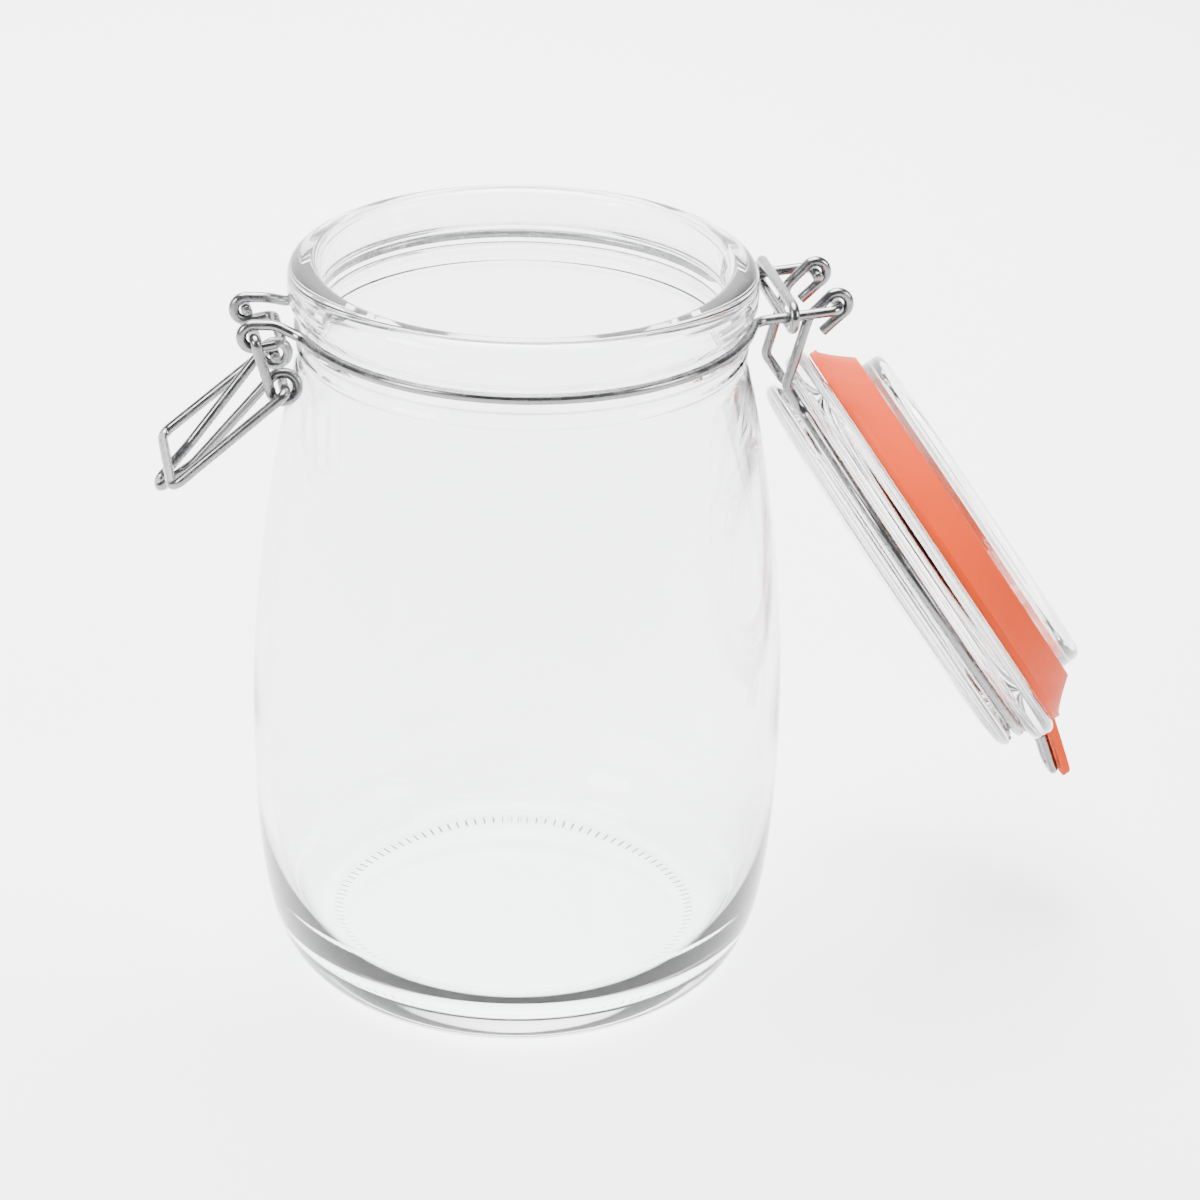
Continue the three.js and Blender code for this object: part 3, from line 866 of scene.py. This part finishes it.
def floor_material(settings):
    material, _, _, shader = principled("pale_floor", settings.floor)
    shader.inputs["Roughness"].default_value = 0.9
    return material


# ---------------------------------------------------------------- operators


def place_piece(obj, body, slot, *nodes):
    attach(obj, body)
    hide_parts(*nodes)
    return obj


class CANISTER_OT_glass(bpy.types.Operator):
    """Make the jar and the lid in pressed glass"""

    bl_idname = "canister.make_glass"
    bl_label = "Make Glass"

    def execute(self, context):
        settings = context.scene.canister_glass
        material = glass_material(settings)
        jar = new_piece("jar", turned_mesh("jar", jar_outline(settings), TURN_SEGMENTS), material)
        place_piece(jar, "jar", "glass", "jar_glass")
        mesh = turned_mesh("lid", lid_outline(), TURN_SEGMENTS)
        to_open = lid_matrix_in_metres()
        mesh.transform(to_open)
        place_piece(new_piece("lid", mesh, material), "lid", "glass", "lid_glass")
        return {"FINISHED"}


class CANISTER_OT_wires(bpy.types.Operator):
    """Bend the collar, the keeper ring, the lid's wire, the lever and the bail"""

    bl_idname = "canister.make_wires"
    bl_label = "Make Wires"

    def execute(self, context):
        settings = context.scene.canister_wire
        material = wire_material(settings)
        to_open = lid_matrix()
        lid_route = [to_open @ p for p in lid_wire_route()]
        wires = [
            ("collar", collar_route(), "jar", "collar_wire", False),
            ("keeper", keeper_route(), "jar", "keeper_ring", True),
            ("lid_bow", lid_route, "lid", "lid_wire", False),
            ("latch_lever", lever_route(), "lever", "lever", False),
            ("latch_bail", bail_route(), "bail", "bail", False),
        ]
        for name, route, body, node, closed in wires:
            mesh = wire_mesh(name, route, settings.radius, settings.sides, closed)
            place_piece(new_piece(name, mesh, material), body, "wire", node)
        return {"FINISHED"}


class CANISTER_OT_gasket(bpy.types.Operator):
    """Mould the rubber gasket, cupped round the lid's plug"""

    bl_idname = "canister.make_gasket"
    bl_label = "Make Gasket"

    def execute(self, context):
        settings = context.scene.canister_gasket
        mesh = gasket_mesh(settings)
        to_open = lid_matrix_in_metres()
        mesh.transform(to_open)
        piece = new_piece("seal", mesh, rubber_material(settings))
        place_piece(piece, "lid", "seal", "gasket")
        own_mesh(piece)
        return {"FINISHED"}


FLOOR_HALF = 3.0       # metres, as are all the sizes of the stage
FLAT_END = 0.9         # where the floor starts to sweep up into the backdrop
SWEEP_RADIUS = 0.5
BACKDROP_TOP = 2.2
BACKDROP_AIM = Vector((0, 1.4, 0.5))
CAMERA_PLACE = Vector((-0.11457, -0.63931, 0.40394))
CAMERA_TARGET = Vector((0.0202, 0.0104, 0.0763))
CAMERA_ROLL = math.radians(1.59)
CAMERA_LENS = 99.9


class CANISTER_OT_stage(bpy.types.Operator):
    """Set the floor, the soft light and the camera"""

    bl_idname = "canister.make_stage"
    bl_label = "Make Stage"

    def execute(self, context):
        settings = context.scene.canister_stage
        scene = context.scene
        world = bpy.data.worlds.new("studio")
        world.use_nodes = True
        sky = world.node_tree.nodes["Background"]
        sky.inputs["Color"].default_value = (0.92, 0.94, 0.96, 1)
        sky.inputs["Strength"].default_value = 0.32
        scene.world = world
        mesh = bpy.data.meshes.new("floor")
        sweep = [(-FLOOR_HALF, 0.0), (FLAT_END, 0.0)]
        sweep += [(FLAT_END + SWEEP_RADIUS * math.sin(math.radians(a)),
                   SWEEP_RADIUS - SWEEP_RADIUS * math.cos(math.radians(a)))
                  for a in range(6, 91, 6)]
        sweep += [(FLAT_END + SWEEP_RADIUS, BACKDROP_TOP)]
        corners = [(side * FLOOR_HALF, y, z) for y, z in sweep for side in (-1, 1)]
        quads = [(2 * k, 2 * k + 1, 2 * k + 3, 2 * k + 2) for k in range(len(sweep) - 1)]
        mesh.from_pydata(corners, [], quads)
        mesh.shade_smooth()
        floor = new_piece("floor", mesh, floor_material(settings))
        low, high = CAD_BOX
        centre = (low + high) / 2
        softboxes = [
            ("overhead", (0.0, 0.15, 1.35), 1.3, settings.key_power, centre),
            ("left", (-0.95, -0.45, 0.6), 0.5, settings.key_power * 0.2, centre),
            ("right", (0.95, -0.5, 0.55), 0.5, settings.key_power * 0.16, centre),
            ("wash", (0.0, 0.35, 1.2), 0.6, settings.key_power * 0.6, BACKDROP_AIM),
        ]
        for name, place, width, power, aim in softboxes:
            light = bpy.data.lights.new(name, "AREA")
            light.energy = power
            light.shape = "DISK"
            light.size = width
            lamp = bpy.data.objects.new(name, light)
            lamp.location = place
            lamp.rotation_euler = (aim - Vector(place)).to_track_quat("-Z", "Y").to_euler()
            scene.collection.objects.link(lamp)
        data = bpy.data.cameras.new("view")
        data.lens = CAMERA_LENS
        data.sensor_width = 36
        camera = bpy.data.objects.new("view", data)
        scene.collection.objects.link(camera)
        look = (CAMERA_TARGET - CAMERA_PLACE).to_track_quat("-Z", "Y").to_matrix().to_4x4()
        roll = Matrix.Rotation(CAMERA_ROLL, 4, "Z")
        camera.matrix_world = Matrix.Translation(CAMERA_PLACE) @ look @ roll
        scene.camera = camera
        return {"FINISHED"}


class CANISTER_PT_panel(bpy.types.Panel):
    """Shows each step's settings and its button"""

    bl_label = "Canister"
    bl_idname = "CANISTER_PT_panel"
    bl_space_type = "VIEW_3D"
    bl_region_type = "UI"
    bl_category = "Canister"

    def draw(self, context):
        for group, operator in STEPS:
            box = self.layout.box()
            settings = getattr(context.scene, group)
            for name in settings.__annotations__:
                box.prop(settings, name)
            box.operator(operator)


STEPS = [
    ("canister_stage", "canister.make_stage"),
    ("canister_glass", "canister.make_glass"),
    ("canister_wire", "canister.make_wires"),
    ("canister_gasket", "canister.make_gasket"),
]
GROUPS = {
    "canister_glass": CanisterGlass,
    "canister_wire": CanisterWire,
    "canister_gasket": CanisterGasket,
    "canister_stage": CanisterStage,
}
CLASSES = [*GROUPS.values(), CANISTER_OT_glass, CANISTER_OT_wires, CANISTER_OT_gasket,
           CANISTER_OT_stage, CANISTER_PT_panel]


def register():
    for cls in CLASSES:
        bpy.utils.register_class(cls)
    for name, cls in GROUPS.items():
        setattr(bpy.types.Scene, name, bpy.props.PointerProperty(type=cls))


def unregister():
    for name in GROUPS:
        delattr(bpy.types.Scene, name)
    for cls in reversed(CLASSES):
        bpy.utils.unregister_class(cls)


def main():
    register()
    bpy.ops.canister.make_stage()
    bpy.ops.canister.make_glass()
    bpy.ops.canister.make_wires()
    bpy.ops.canister.make_gasket()


if __name__ == "__main__":
    main()
